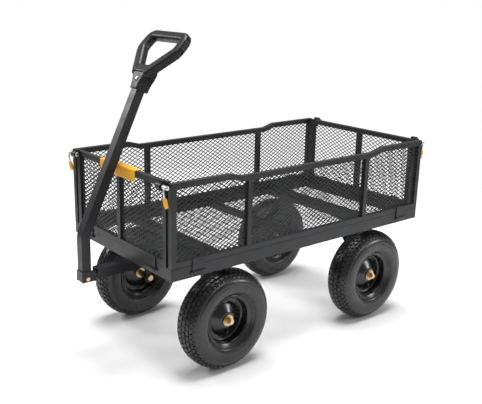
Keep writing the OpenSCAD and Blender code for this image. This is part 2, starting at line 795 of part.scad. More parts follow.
side_rail_left();
side_rail_right();
end_rail_front();
end_rail_back();
floor_mesh();
front_cross_member();
middle_cross_member();
rear_cross_member();
turntable_plate();
kingpin();
rear_bracket_left();
rear_bracket_right();
rear_axles();
rear_axle_nuts();
hinge_pins();
front_panel_frame();
front_panel_mesh();
handle_guard();
front_latch_brackets();
front_latch_bolts();
left_panel_frame();
left_panel_mesh();
right_panel_frame();
right_panel_mesh();
back_panel_frame();
back_panel_mesh();
back_latch_brackets();
back_latch_bolts();
latch_lever_front_left();
latch_grip_front_left();
latch_lever_front_right();
latch_grip_front_right();
latch_lever_back_left();
latch_grip_back_left();
latch_lever_back_right();
latch_grip_back_right();
front_yoke();
tongue();
front_axles();
front_axle_nuts();
handle_bracket();
handle_bolt();
handle_tube();
handle_grip();
handle_rivet();
tyre_front_left();
rim_front_left();
hub_front_left();
tyre_front_right();
rim_front_right();
hub_front_right();
tyre_back_left();
rim_back_left();
hub_back_left();
tyre_back_right();
rim_back_right();
hub_back_right();
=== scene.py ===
import json
import math
import bmesh
import bpy
from mathutils import Matrix, Vector


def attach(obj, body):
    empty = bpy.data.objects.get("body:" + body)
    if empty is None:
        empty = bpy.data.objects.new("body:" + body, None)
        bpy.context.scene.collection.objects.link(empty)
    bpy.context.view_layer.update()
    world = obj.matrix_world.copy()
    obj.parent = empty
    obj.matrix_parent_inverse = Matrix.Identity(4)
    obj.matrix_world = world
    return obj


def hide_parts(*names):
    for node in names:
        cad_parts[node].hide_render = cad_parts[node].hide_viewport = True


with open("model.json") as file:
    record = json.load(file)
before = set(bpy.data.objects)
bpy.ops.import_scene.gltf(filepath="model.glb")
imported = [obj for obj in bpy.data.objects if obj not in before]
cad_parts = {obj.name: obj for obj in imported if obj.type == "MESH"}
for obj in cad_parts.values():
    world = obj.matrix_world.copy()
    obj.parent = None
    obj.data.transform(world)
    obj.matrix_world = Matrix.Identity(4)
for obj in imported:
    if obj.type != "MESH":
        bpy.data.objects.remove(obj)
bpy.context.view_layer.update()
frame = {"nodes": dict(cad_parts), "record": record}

MM = 0.001
END_SIGN = {"front": -1, "back": 1}
SIDE_SIGN = {"left": -1, "right": 1}
CORNERS = [(end, side) for end in END_SIGN for side in SIDE_SIGN]
NODE_BODY = {n: b for b, nodes in frame["record"]["behaviour"]["bodies"].items() for n in nodes}
NODE_SLOT = {p["node"]: p["material_slot"] for p in frame["record"]["subparts"]}


# ---- Materials ----

class Shader:
    """A node material around one Principled shader, with detail in object space."""

    def __init__(self, name, color, roughness, **fixed):
        self.material = bpy.data.materials.new(name)
        self.material.use_nodes = True
        self.tree = self.material.node_tree
        self.bsdf = self.tree.nodes["Principled BSDF"]
        self.bsdf.inputs["Base Color"].default_value = (*color, 1)
        self.bsdf.inputs["Roughness"].default_value = roughness
        for socket, value in fixed.items():
            self.bsdf.inputs[socket.replace("_", " ")].default_value = value
        self.coords = self.node("ShaderNodeTexCoord").outputs["Object"]
        self.height = None

    def node(self, kind, **values):
        made = self.tree.nodes.new(kind)
        for key, value in values.items():
            setattr(made, key, value)
        return made

    def link(self, a, b):
        self.tree.links.new(a, b)

    def noise(self, size_mm, detail=3, rough=0.55, stretch=(1, 1, 1)):
        """Noise with features of about size_mm."""
        mapping = self.node("ShaderNodeMapping")
        mapping.inputs["Scale"].default_value = stretch
        self.link(self.coords, mapping.inputs["Vector"])
        made = self.node("ShaderNodeTexNoise")
        made.inputs["Scale"].default_value = 1 / (size_mm * MM)
        made.inputs["Detail"].default_value = detail
        made.inputs["Roughness"].default_value = rough
        self.link(mapping.outputs["Vector"], made.inputs["Vector"])
        return made.outputs["Fac"]

    def ramp(self, fac, low, high, a, b):
        """Maps fac between low and high to values a to b."""
        made = self.node("ShaderNodeMapRange")
        for key, value in (("From Min", low), ("From Max", high), ("To Min", a), ("To Max", b)):
            made.inputs[key].default_value = value
        self.link(fac, made.inputs["Value"])
        return made.outputs["Result"]

    def mix_color(self, fac, a, b):
        made = self.node("ShaderNodeMix", data_type="RGBA")
        self.link(fac, made.inputs["Factor"])
        for socket, value in ((made.inputs[6], a), (made.inputs[7], b)):
            if isinstance(value, tuple):
                socket.default_value = (*value, 1)
            else:
                self.link(value, socket)
        return made.outputs[2]

    def color(self, output):
        self.link(output, self.bsdf.inputs["Base Color"])

    def roughness(self, output):
        self.link(output, self.bsdf.inputs["Roughness"])

    def bump(self, output, depth_mm):
        """Adds a bump of depth_mm for a height output from 0 to 1."""
        made = self.node("ShaderNodeBump")
        made.inputs["Strength"].default_value = 1
        made.inputs["Distance"].default_value = depth_mm * MM
        self.link(output, made.inputs["Height"])
        if self.height is not None:
            self.link(self.height, made.inputs["Normal"])
        self.height = made.outputs["Normal"]
        self.link(self.height, self.bsdf.inputs["Normal"])


def powder_coat(name, dark, light, roughness):
    s = Shader(name, dark, roughness, Specular_IOR_Level=0.36)
    s.color(s.mix_color(s.ramp(s.noise(160, 4), 0.35, 0.7, 0, 1), dark, light))
    s.roughness(s.ramp(s.noise(45, 5), 0.3, 0.7, roughness - 0.06, roughness + 0.07))
    s.bump(s.noise(1.4, 2), 0.05)
    s.bump(s.noise(7, 2), 0.06)
    return s.material


def gloss_enamel():
    s = Shader("gloss_enamel", (0.006, 0.006, 0.0065), 0.24, Specular_IOR_Level=0.6)
    s.roughness(s.ramp(s.noise(30, 5), 0.35, 0.75, 0.2, 0.32))
    s.bump(s.noise(6, 2), 0.03)
    return s.material


def tyre_rubber():
    s = Shader("tyre_rubber", (0.02, 0.02, 0.021), 0.5, Specular_IOR_Level=0.5)
    bloom = s.ramp(s.noise(55, 5), 0.4, 0.75, 0, 1)
    s.color(s.mix_color(bloom, (0.009, 0.009, 0.0095), (0.02, 0.0195, 0.019)))
    s.roughness(s.ramp(s.noise(25, 4), 0.3, 0.7, 0.24, 0.36))
    s.bump(s.noise(0.9, 2), 0.06)
    s.bump(s.noise(12, 3), 0.12)
    return s.material


def moulded_plastic(name, dark, light, roughness, grain_mm=0.06):
    s = Shader(name, dark, roughness, Specular_IOR_Level=0.38)
    s.color(s.mix_color(s.ramp(s.noise(30, 4), 0.35, 0.7, 0, 1), dark, light))
    s.roughness(s.ramp(s.noise(12, 4), 0.3, 0.7, roughness - 0.07, roughness + 0.07))
    s.bump(s.noise(0.8, 2), grain_mm)
    return s.material


def plated_zinc(name, warm, cool, roughness):
    s = Shader(name, warm, roughness, Metallic=1.0)
    s.color(s.mix_color(s.ramp(s.noise(9, 4), 0.35, 0.7, 0, 1), warm, cool))
    s.roughness(s.ramp(s.noise(3, 4), 0.3, 0.7, roughness - 0.08, roughness + 0.12))
    s.bump(s.noise(0.6, 2), 0.02)
    return s.material


SLOT_MATERIALS = {
    "frame_paint": powder_coat("frame_paint", (0.014, 0.0145, 0.016), (0.022, 0.0225, 0.025), 0.38),
    "mesh_paint": powder_coat("mesh_paint", (0.01, 0.0105, 0.011), (0.018, 0.0185, 0.02), 0.38),
    "rim_paint": gloss_enamel(),
    "tyre_rubber": tyre_rubber(),
    "black_plastic": moulded_plastic("black_plastic", (0.007, 0.007, 0.008), (0.013, 0.013, 0.0142), 0.42),
    "yellow_plastic": moulded_plastic("yellow_plastic", (0.86, 0.4, 0.014), (0.92, 0.47, 0.03), 0.38),
    "yellow_zinc": plated_zinc("yellow_zinc", (0.68, 0.46, 0.2), (0.6, 0.5, 0.38), 0.28),
    "bright_zinc": plated_zinc("bright_zinc", (0.6, 0.58, 0.54), (0.7, 0.7, 0.7), 0.3),
}


# ---- Mesh tools ----

def add_piece(name, mesh, body, slot, replaces=(), flat=False):
    """Places a mesh as a piece on a body with its slot's material."""
    piece = bpy.data.objects.new(name, mesh)
    bpy.context.scene.collection.objects.link(piece)
    piece.data.materials.clear()
    piece.data.materials.append(SLOT_MATERIALS[slot])
    if not flat:
        mesh.shade_smooth()
        mesh.set_sharp_from_angle(angle=math.radians(34))
    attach(piece, body)
    if replaces:
        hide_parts(*replaces)
    return piece


def mesh_from(name, verts, faces):
    mesh = bpy.data.meshes.new(name)
    mesh.from_pydata([tuple(v) for v in verts], [], faces)
    mesh.validate()
    bm = bmesh.new()
    bm.from_mesh(mesh)
    bmesh.ops.recalc_face_normals(bm, faces=bm.faces)
    bm.to_mesh(mesh)
    bm.free()
    return mesh


def softened(node, width_mm, shortest_mm=9):
    """Replaces a node with a copy whose long sharp edges are rounded."""
    source = frame["nodes"][node]
    mesh = source.data.copy()
    bm = bmesh.new()
    bm.from_mesh(mesh)
    bmesh.ops.remove_doubles(bm, verts=bm.verts, dist=0.01 * MM)
    bmesh.ops.dissolve_limit(bm, angle_limit=math.radians(0.5), verts=bm.verts, edges=bm.edges)
    edges = [
        e for e in bm.edges
        if len(e.link_faces) == 2 and e.calc_face_angle() > math.radians(35)
        and e.calc_length() > shortest_mm * MM
    ]
    bmesh.ops.bevel(bm, geom=edges, offset=width_mm * MM, segments=2, affect="EDGES",
                    profile=0.5, clamp_overlap=True)
    bm.to_mesh(mesh)
    bm.free()
    piece = add_piece("soft_" + node, mesh, NODE_BODY[node], NODE_SLOT[node], replaces=(node,))
    weighted = piece.modifiers.new("weighted", "WEIGHTED_NORMAL")
    weighted.keep_sharp = True


def lofted(name, loops):
    """Skins 3-D loops with equal point counts, closing the first and last."""
    verts = [v for loop in loops for v in loop]
    n = len(loops[0])
    faces = []
    for i in range(len(loops) - 1):
        for k in range(n):
            a, b = i * n + k, i * n + (k + 1) % n
            faces.append((a, b, b + n, a + n))
    faces.append(tuple(range(n))[::-1])
    faces.append(tuple(range(len(verts) - n, len(verts))))
    return mesh_from(name, verts, faces)


def sweep(name, section, stations):
    """Skins a section along stations, each (centre, x axis, y axis), with closed ends."""
    return lofted(name, [[centre + x_axis * p[0] + y_axis * p[1] for p in section]
                         for centre, x_axis, y_axis in stations])


def revolve(name, profile, segments, centre, closed=True):
    """Turns a profile of (radius, x) about the X axis through centre."""
    verts, faces = [], []
    n = len(profile)
    for k in range(segments):
        a = 2 * math.pi * k / segments
        verts += [Vector((x, r * math.cos(a), r * math.sin(a))) + centre for r, x in profile]
    for k in range(segments):
        for i in range(n if closed else n - 1):
            a, b = k * n + i, k * n + (i + 1) % n
            c = (k + 1) % segments * n
            faces.append((a, b, c + (i + 1) % n, c + i))
    return mesh_from(name, verts, faces)


def circle(radius, count):
    return [(radius * math.cos(2 * math.pi * k / count), radius * math.sin(2 * math.pi * k / count))
            for k in range(count)]


def tube_between(name, p, q, radius, segments=20):
    """Round bar between two points with slightly chamfered ends."""
    p, q = Vector(p), Vector(q)
    length = (q - p).length
    z = (q - p).normalized()
    x = z.orthogonal().normalized()
    y = z.cross(x)
    chamfer = min(radius * 0.25, length * 0.2)
    stations = []
    for at, r in ((0, radius - chamfer), (chamfer, radius),
                  (length - chamfer, radius), (length, radius - chamfer)):
        stations.append((p + z * at, x * r, y * r))
    return sweep(name, circle(1, segments), stations)


def joined(name, meshes):
    """One mesh from several, which are removed."""
    bm = bmesh.new()
    for m in meshes:
        bm.from_mesh(m)
        bpy.data.meshes.remove(m)
    mesh = bpy.data.meshes.new(name)
    bm.to_mesh(mesh)
    bm.free()
    return mesh


def held(mesh):
    """An object that carries a mesh while modifiers work on it."""
    holder = bpy.data.objects.new("holder", mesh)
    bpy.context.scene.collection.objects.link(holder)
    return holder


def released(holder):
    """The holder's mesh with its modifiers applied. The holder and its first mesh are removed."""
    bpy.context.view_layer.update()
    made = bpy.data.meshes.new_from_object(holder.evaluated_get(bpy.context.evaluated_depsgraph_get()))
    first = holder.data
    bpy.data.objects.remove(holder)
    bpy.data.meshes.remove(first)
    return made


def smoothstep(a, b, x):
    """0 below a, 1 above b, and a smooth rise between them."""
    t = min(1, max(0, (x - a) / (b - a)))
    return t * t * (3 - 2 * t)


# ---- Expanded mesh ----

LONG = 27 * MM
SHORT = 16.5 * MM
STRAND_W = 2.9 * MM
STRAND_T = 1.5 * MM
STRAND_TILT = 0.2 * MM
SHORTEST_STRAND = 1.5 * MM

SIDE_MESH_X = 0.326
END_MESH_Y = 0.633
FLOOR_MESH_Z = 0.435
WINDOW_LOW = 0.462
WINDOW_TOP = 0.727
SIDE_WINDOW_Y = 0.628
END_WINDOW_X = 0.287
FLOOR_HALF_Y = 0.637
FLOOR_HALF_X = 0.33
TOP_TUBE = 0.015
TOP_RISE = 0.015
RISE_START = 0.338
RISE_RUN = 0.055


def expanded_mesh(name, lo, hi, inside, place):
    """Diamond mesh over the rectangle lo to hi, kept where inside(u, v), put in space by place(u, v, w)."""
    verts, faces = [], []

    def strand(p, q, tilt):
        """A flat bar from p to q, twisted a little to one side."""
        along = (q - p).normalized()
        across = Vector((-along.y, along.x))
        half_w = across * STRAND_W / 2
        for end in (p, q):
            for side, up in ((-1, -1), (1, -1), (1, 1), (-1, 1)):
                at = end + half_w * side
                verts.append(place(at.x, at.y, up * STRAND_T / 2 + tilt * side * STRAND_TILT))
        k = len(verts) - 8
        for i in range(4):
            j = (i + 1) % 4
            faces.append((k + i, k + j, k + 4 + j, k + 4 + i))
        faces.append((k + 3, k + 2, k + 1, k))
        faces.append((k + 4, k + 5, k + 6, k + 7))

    def keep(p, q, tilt):
        """Makes the strand from p to q, cut off where it leaves the window."""
        a, b = inside(*p), inside(*q)
        if not a and not b:
            return
        if a != b:
            good, bad = (p, q) if a else (q, p)
            near, far = good, bad
            for _ in range(6):
                middle = (near + far) / 2
                if inside(*middle):
                    near = middle
                else:
                    far = middle
            if (near - good).length < SHORTEST_STRAND:
                return
            p, q = good, near
        strand(p, q, tilt)

    columns = int((hi[0] - lo[0]) / LONG) + 2
    rows = int((hi[1] - lo[1]) / SHORT) + 2
    for i in range(-1, columns):
        for j in range(-1, rows):
            centre = Vector((lo[0] + i * LONG, lo[1] + j * SHORT))
            right = centre + Vector((LONG / 2, SHORT / 2))
            for p, q, tilt in (
                (centre, right, 1),
                (right, centre + Vector((LONG, 0)), -1),
                (right, centre + Vector((LONG, SHORT)), 1),
                (centre + Vector((0, SHORT)), right, -1),
            ):
                keep(p, q, tilt)
    return mesh_from(name, verts, faces)


def side_top(y):
    """Height of a side panel's top rail at y: it steps up towards both ends."""
    return WINDOW_TOP + TOP_RISE * min(1, max(0, (abs(y) - RISE_START) / RISE_RUN))


def in_side_window(y, z):
    return abs(y) < SIDE_WINDOW_Y and WINDOW_LOW < z < side_top(y) - TOP_TUBE


def in_end_window(x, z):
    return abs(x) < END_WINDOW_X and WINDOW_LOW < z < WINDOW_TOP


def in_floor(y, x):
    return abs(y) < FLOOR_HALF_Y and abs(x) < FLOOR_HALF_X


for side, s in SIDE_SIGN.items():
    strands = expanded_mesh(
        f"{side}_strands", (-0.634, 0.456), (0.634, 0.745), in_side_window,
        lambda u, v, w, s=s: (s * (SIDE_MESH_X + w), u, v),
    )
    add_piece(f"{side}_panel_expanded_mesh", strands, NODE_BODY[f"{side}_panel_mesh"], "mesh_paint",
              replaces=(f"{side}_panel_mesh",), flat=True)
for end, s in END_SIGN.items():
    strands = expanded_mesh(
        f"{end}_strands", (-0.297, 0.456), (0.297, 0.735), in_end_window,
        lambda u, v, w, s=s: (u, s * (END_MESH_Y + w), v),
    )
    add_piece(f"{end}_panel_expanded_mesh", strands, NODE_BODY[f"{end}_panel_mesh"], "mesh_paint",
              replaces=(f"{end}_panel_mesh",), flat=True)
strands = expanded_mesh(
    "floor_strands", (-0.6345, -FLOOR_HALF_X), (0.64, FLOOR_HALF_X), in_floor,
    lambda u, v, w: (v, u, FLOOR_MESH_Z + w),
)
add_piece("floor_expanded_mesh", strands, "bed", "mesh_paint", replaces=("floor_mesh",), flat=True)


# ---- Steel parts with rounded edges ----

for node, width in {
    "side_rail_left": 1.3, "side_rail_right": 1.3, "end_rail_front": 1.3, "end_rail_back": 1.3,
    "front_cross_member": 1, "middle_cross_member": 1, "rear_cross_member": 1,
    "turntable_plate": 0.8, "rear_bracket_left": 1, "rear_bracket_right": 1, "front_yoke": 1,
    "left_panel_frame": 1.2, "right_panel_frame": 1.2,
    "front_panel_frame": 1.2, "back_panel_frame": 1.2,
    "front_latch_brackets": 0.6, "back_latch_brackets": 0.6,
    "tongue": 1.4, "handle_bracket": 1.2, "handle_tube": 2, "handle_guard": 1.6,
}.items():
    softened(node, width)
for node in ("front_axle_nuts", "rear_axle_nuts", "front_axles", "rear_axles", "handle_bolt"):
    softened(node, 0.5, 3)


# ---- Wheels ----

AXLE_Z = 0.1905
WHEEL_X = 0.294
AXLE_Y = 0.384
VALVE_DROP = 0.052
VALVE_HOLE_R = 0.0072
SHEET = 2.4
RIM_R = 96
WIDE_R = 130
CROWN = 60.5
HALF_WIDTH = 58
TREAD = 3.2
PITCHES = 54
SQUARENESS = 0.82


def casing(t, inset):
    """Radius and offset of the tyre's section at angle t, moved in by inset, in mm."""
    c, s = math.cos(t), math.sin(t)
    return (
        WIDE_R + (CROWN - inset) * math.copysign(abs(s) ** SQUARENESS, s),
        (HALF_WIDTH - inset) * math.copysign(abs(c) ** SQUARENESS, c),
    )


def rib(t, at, width, height):
    """A round rib of some height round the tyre at section angle at."""
    d = abs(t - at) / width
    return height * math.cos(min(1, d) * math.pi / 2) ** 2


def tyre_profile():
    """Closed section of the casing without its tread blocks."""
    outer = []
    steps = 132
    for i in range(steps + 1):
        t = math.pi * i / steps
        side_t = min(t, math.pi - t)
        inset = TREAD * smoothstep(math.radians(33), math.radians(44), side_t)
        inset -= rib(side_t, math.radians(30), math.radians(2.2), 1.5)
        inset -= rib(side_t, math.radians(7), math.radians(1.8), 0.9)
        inset += 1.1 - rib(side_t, math.radians(18), math.radians(14), 1.1)
        outer.append(casing(t, inset))
    bead_r = RIM_R - 7
    low = [(bead_r, 31), (RIM_R - 3, 35.6), (RIM_R + 2, 39.6), (RIM_R + 6, 42), (RIM_R + 8, 44.6),
           (RIM_R + 12, 48), (RIM_R + 15.5, 50), (RIM_R + 17, 52.6), (RIM_R + 21, 54.3), (RIM_R + 27, 56)]
    inner = [(RIM_R + 6, 33), (WIDE_R, 50), (WIDE_R + 34, 36), (WIDE_R + 46, 0),
             (WIDE_R + 34, -36), (WIDE_R, -50), (RIM_R + 6, -33)]
    return low + outer[1:-1] + [(r, -x) for r, x in reversed(low)] + list(reversed(inner))


def tread_block(verts, faces, centre, sign, phi, half_phi, t0, t1, skew=0.0, taper=0.0):
    """One block of tread between section angles t0 and t1, centred on wheel angle phi."""
    rows, columns = 5, 3
    rings = ((TREAD + 1.2, 0.0), (1.4, 0.04), (0.2, 0.11))
    loops = []
    for inset, shrink in rings:
        loop = []
        for i in range(rows):
            for j in range(columns):
                a = i / (rows - 1) * 2 - 1
                b = j / (columns - 1) * 2 - 1
                t = (t0 + t1) / 2 + a * (1 - shrink) * (t1 - t0) / 2
                half = half_phi * (1 - taper * (a + 1) / 2) * (1 - 1.5 * shrink)
                at = phi + b * half + skew * a
                r, x = casing(t, inset)
                verts.append(centre + Vector((sign * x, r * math.cos(at), r * math.sin(at))) * MM)
                loop.append(len(verts) - 1)
        loops.append(loop)
    top = loops[-1]
    for i in range(rows - 1):
        for j in range(columns - 1):
            k = i * columns + j
            faces.append((top[k], top[k + 1], top[k + columns + 1], top[k + columns]))
    edge = list(range(columns))
    edge += [i * columns + columns - 1 for i in range(1, rows)]
    edge += [(rows - 1) * columns + j for j in range(columns - 2, -1, -1)]
    edge += [i * columns for i in range(rows - 2, 0, -1)]
    for lower, upper in zip(loops, loops[1:]):
        for k in range(len(edge)):
            a, b = edge[k], edge[(k + 1) % len(edge)]
            faces.append((lower[a], lower[b], upper[b], upper[a]))


def tread_mesh(name, centre, sign):
    """Two staggered rows of blocks on the crown, and three rows of lugs down each shoulder."""
    verts, faces = [], []
    step = 2 * math.pi / PITCHES
    half = step * 0.4
    d = math.radians
    for k in range(PITCHES):
        phi = k * step
        tread_block(verts, faces, centre, sign, phi, half, d(91.5), d(104), d(0.7))
        tread_block(verts, faces, centre, sign, phi + step / 2, half, d(76), d(88.5), d(0.7))
        for side in (1, -1):
            for low, high, shift, skew in ((59, 73, 0, 0.9), (45, 56.5, 0.5, 0.4), (34.5, 42.5, 0, 0)):
                t0, t1 = (d(low), d(high)) if side > 0 else (d(180 - low), d(180 - high))
                tread_block(verts, faces, centre, sign, phi + shift * step, half, t0, t1, d(skew) * side)
    return mesh_from(name, verts, faces)


def smooth_path(points, steps=5):
    """Catmull-Rom curve through 2-D points."""
    out = []
    p = [points[0], *points, points[-1]]
    for i in range(1, len(p) - 2):
        for k in range(steps):
            t = k / steps
            out.append(tuple(
                0.5 * (2 * p[i][c] + (p[i + 1][c] - p[i - 1][c]) * t
                       + (2 * p[i - 1][c] - 5 * p[i][c] + 4 * p[i + 1][c] - p[i + 2][c]) * t * t
                       + (3 * p[i][c] - p[i - 1][c] - 3 * p[i + 1][c] + p[i + 2][c]) * t ** 3)
                for c in (0, 1)
            ))
    return [*out, points[-1]]


def thicken(path, thickness):
    """Closed outline of a bent sheet along a path."""
    left, right = [], []
    for i, p in enumerate(path):
        a, b = path[max(0, i - 1)], path[min(len(path) - 1, i + 1)]
        n = Vector((-(b[1] - a[1]), b[0] - a[0])).normalized() * thickness / 2
        left.append((p[0] + n.x, p[1] + n.y))
        right.append((p[0] - n.x, p[1] - n.y))
    return left + right[::-1]


def scaled(profile, sign=1):
    """A profile in millimetres turned into metres, mirrored by sign."""
    return [(r * MM, sign * x * MM) for r, x in profile]


DISH = smooth_path([
    (98.6, 38.4), (97, 39.4), (95, 38.6), (92.4, 36.6), (88.6, 34.2), (87.2, 31), (87, 22), (86.9, 10),
    (84.6, 4.6), (80, 1.9), (74, 1.3), (67, 1.5), (62, 3.6), (56, 7.8), (45, 14.6), (34, 21.2),
    (28.5, 23.9), (21.5, 24.6),
])


def rim_mesh(name, centre):
    """Two pressed dishes back to back."""
    bm = bmesh.new()
    for s in (1, -1):
        part = revolve(name + "_dish", scaled(thicken([(r, s * x) for r, x in DISH], SHEET)), 128, centre)
        bm.from_mesh(part)
        bpy.data.meshes.remove(part)
    mesh = bpy.data.meshes.new(name)
    bm.to_mesh(mesh)
    bm.free()
    return mesh


def drilled(mesh, cutter):
    """The mesh with another closed mesh cut out of it."""
    holder, tool = held(mesh), held(cutter)
    cut = holder.modifiers.new("cut", "BOOLEAN")
    cut.operation, cut.solver, cut.object = "DIFFERENCE", "EXACT", tool
    cut.use_self = True
    made = released(holder)
    bpy.data.objects.remove(tool)
    bpy.data.meshes.remove(cutter)
    return made


HUB = [
    (8.1, -31), (11, -31), (11.6, -30.6), (12.2, -30), (17.4, -30), (18, -30.8), (21, -31), (22, -30),
    (22, -28.4), (21.6, -28), (20.2, -28), (20, -27.5), (20, 27.5), (20.2, 28), (21.6, 28),
    (22, 28.4), (22, 30), (21, 31), (18, 30.8), (17.4, 30), (12.2, 30), (11.6, 30.6), (11, 31), (8.1, 31),
]


def valve_stem(name, centre, sign):
    """Rubber stem that leans outwards from the rim: base, shaft and cap."""
    foot = centre + Vector((0, 0, -0.056))
    return joined(name, [
        tube_between(part, foot + Vector((sign * x0, 0, z0)), foot + Vector((sign * x1, 0, z1)), radius)
        for part, x0, z0, x1, z1, radius in (
            ("base", -0.004, 0, 0.008, 0.003, 0.0058),
            ("shaft", 0.006, 0.0025, 0.022, 0.0085, 0.0038),
            ("cap", 0.02, 0.0078, 0.029, 0.0112, 0.0046),
        )
    ])


for end, side in CORNERS:
    corner = f"{end}_{side}"
    sx = SIDE_SIGN[side]
    centre = Vector((sx * WHEEL_X, END_SIGN[end] * AXLE_Y, AXLE_Z))
    body = NODE_BODY[f"tyre_{corner}"]
    tyre = revolve(f"casing_{corner}", scaled(tyre_profile(), sx), 160, centre)
    add_piece(f"tyre_casing_{corner}", tyre, body, "tyre_rubber", replaces=(f"tyre_{corner}",))
    add_piece(f"tyre_tread_{corner}", tread_mesh(f"tread_{corner}", centre, sx), body, "tyre_rubber")
    valve = centre + Vector((0, 0, -VALVE_DROP))
    through = Vector((0.03, 0, 0))
    hole = tube_between("hole", valve - through, valve + through, VALVE_HOLE_R, 32)
    add_piece(f"rim_dish_{corner}", drilled(rim_mesh(f"rim_{corner}", centre), hole), body, "rim_paint",
              replaces=(f"rim_{corner}",))
    hub = revolve(f"hub_{corner}", scaled(HUB), 64, centre)
    add_piece(f"hub_bearing_{corner}", hub, body, "yellow_zinc", replaces=(f"hub_{corner}",))
    add_piece(f"valve_stem_{corner}", valve_stem(f"stem_{corner}", centre, sx), body, "tyre_rubber")


# ---- Latches ----

LATCH_Y = 0.6565
LATCH_Z = 0.730
LEVER_X = 0.323


def at_corner(mesh, end, side):
    """Mirrors a mesh of the front right corner to another corner."""
    place = Matrix.Diagonal((SIDE_SIGN[side], -END_SIGN[end], 1, 1))
    mesh.transform(place)
    if place.determinant() < 0:
        mesh.flip_normals()
    return mesh


def bend_points(points, radius, steps=5):
    """Polyline with its inner corners rounded."""
    out = [Vector(points[0])]
    for a, b, c in zip(points, points[1:], points[2:]):
        a, b, c = Vector(a), Vector(b), Vector(c)
        p = b + (a - b).normalized() * radius
        q = b + (c - b).normalized() * radius
        for k in range(steps + 1):
            t = k / steps
            out.append(p * (1 - t) ** 2 + b * 2 * t * (1 - t) + q * t * t)
    out.append(Vector(points[-1]))
    return out


def wire(name, points, radius, side_axis):
    """Round wire through points in the plane across side_axis."""
    axis = Vector(side_axis)
    stations = []
    for i, p in enumerate(points):
        a, b = points[max(0, i - 1)], points[min(len(points) - 1, i + 1)]
        along = (Vector(b) - Vector(a)).normalized()
        stations.append((Vector(p), axis, along.cross(axis)))
    return sweep(name, circle(radius, 14), stations)


def stadium(half_x, length, inset, steps=10):
    """Outline of a long round-ended shape from 0 to length, moved in by inset."""
    r = half_x - inset
    points = []
    for centre, start in (((0, length - half_x), 0), ((0, half_x), 180)):
        for k in range(steps + 1):
            a = math.radians(start + 180 * k / steps)
            points.append((centre[0] + r * math.cos(a), centre[1] + r * math.sin(a)))
    return points


def paddle_mesh(name):
    """Oval finger grip at the lever's end, with a slot sunk in both faces."""
    down = Vector((0, 9, -37)).normalized()
    out = Vector((0, -37, -9)).normalized()
    start = Vector((LEVER_X, -LATCH_Y - 0.007, LATCH_Z - 0.031)) + down * 0.002
    shape = [(6.6, -2.8), (6.1, -2.8), (5.3, -4.2), (3.8, -4.9), (1.9, -4.7), (0.5, -3.4), (0, -1.4), (0, 1.4),
             (0.5, 3.4), (1.9, 4.7), (3.8, 4.9), (5.3, 4.2), (6.1, 2.8), (6.6, 2.8)]
    loops = []
    for inset, height in shape:
        loops.append([start + Vector((x * MM, 0, 0)) + down * (z * MM) + out * (height * MM)
                      for x, z in stadium(8, 39, inset)])
    return lofted(name, loops)


for end, side in CORNERS:
    corner = f"{end}_{side}"
    body = NODE_BODY[f"latch_lever_{corner}"]
    a = Vector((LEVER_X, -LATCH_Y, LATCH_Z - 0.001))
    route = [a + Vector((0, y, z)) for y, z in
             ((0, 0), (-0.010, -0.005), (-0.0095, -0.016), (-0.007, -0.030), (-0.0005, -0.0557))]
    lever = joined(f"lever_{corner}", [
        wire("wire", bend_points(route, 0.004), 0.0027, (1, 0, 0)),
        revolve("sleeve", scaled([(4.1, 303), (6.9, 303), (7.5, 303.6), (7.5, 309), (6.7, 309.6), (6.7, 316),
                                  (7.5, 316.6), (7.5, 329.4), (6.9, 330), (4.1, 330)]), 40,
                Vector((0, -LATCH_Y, LATCH_Z))),
    ])
    paddle = paddle_mesh(f"paddle_{corner}")
    add_piece(f"latch_wire_{corner}", at_corner(lever, end, side), body, NODE_SLOT[f"latch_lever_{corner}"],
              replaces=(f"latch_lever_{corner}",))
    add_piece(f"latch_paddle_{corner}", at_corner(paddle, end, side), body, "yellow_plastic",
              replaces=(f"latch_grip_{corner}",))

for end in END_SIGN:
    bolts = []
    for side in SIDE_SIGN:
        bolt = revolve("bolt", scaled([
            (0, 271.4), (3, 271.6), (6, 272.4), (8.4, 273.8), (9, 275.2), (8.8, 275.8), (4, 275.8), (4, 331),
            (6.6, 331), (7, 331.4), (6.6, 333), (4, 333.9), (0, 334),
        ]), 40, Vector((0, -LATCH_Y, LATCH_Z)), closed=False)
        bolts.append(at_corner(bolt, end, side))
    add_piece(f"{end}_latch_bolt_pair", joined(f"{end}_bolts", bolts), NODE_BODY[f"{end}_latch_bolts"],
              "bright_zinc", replaces=(f"{end}_latch_bolts",))


# ---- Hinge staples ----

def staple_mesh(name, along, out, middle):
    """Round bar beside a rail, with both ends turned in to it."""
    along, out, middle = Vector(along), Vector(out), Vector(middle)
    half, foot = 0.031, -0.006
    route = [middle + along * u + out * v for u, v in ((-half, foot), (-half, 0), (half, 0), (half, foot))]
    return wire(name, bend_points(route, 0.0035), 0.0025, (0, 0, 1))


HINGE_Z = 0.421
SIDE_HINGE = (0.341, 0.534)
END_HINGE = (0.217, 0.648)
staples = []
for end, side in CORNERS:
    sx, sy = SIDE_SIGN[side], END_SIGN[end]
    for along, out, (x, y) in (((0, 1, 0), (sx, 0, 0), SIDE_HINGE), ((1, 0, 0), (0, sy, 0), END_HINGE)):
        staples.append(staple_mesh("staple", along, out, (sx * x, sy * y, HINGE_Z)))
add_piece("hinge_staples", joined("hinge_staples", staples), NODE_BODY["hinge_pins"], NODE_SLOT["hinge_pins"],
          replaces=("hinge_pins",))
softened("kingpin", 0.5, 3)


# ---- Handle grip ----

